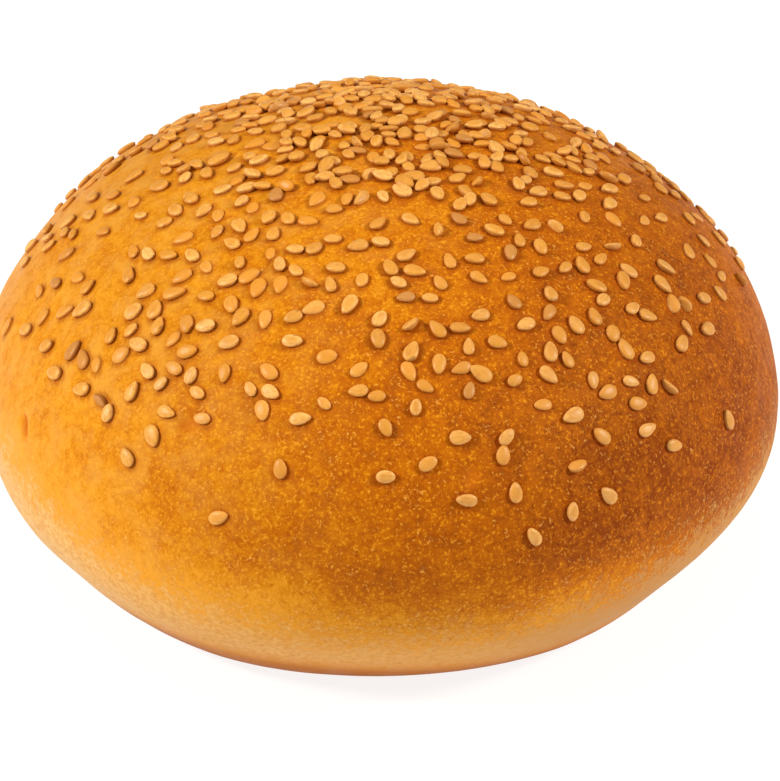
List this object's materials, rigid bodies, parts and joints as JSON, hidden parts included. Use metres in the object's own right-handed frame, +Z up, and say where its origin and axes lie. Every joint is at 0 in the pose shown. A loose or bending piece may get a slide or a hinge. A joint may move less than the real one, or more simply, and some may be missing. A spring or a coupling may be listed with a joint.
{
  "type": "bread roll",
  "caption": "Whole round burger-style bread roll: a domed golden crust scattered with sesame seeds, a pale undercut flank and a flat base.",
  "frame": {"origin": "centre of the flat base, on the surface that the roll stands on", "axes": "+Z up through the crown; -Y is the side that the picture shows, with +X to its right"},
  "size_m": [0.1032, 0.1045, 0.0577],
  "materials": {
    "crust": "baked golden-brown crust with a satin glaze, paler towards the base",
    "sesame": "hulled sesame seeds, matte cream, lightly toasted"
  },
  "bodies": {
    "root": {"roll": "crust"}
  },
  "joints": []
}
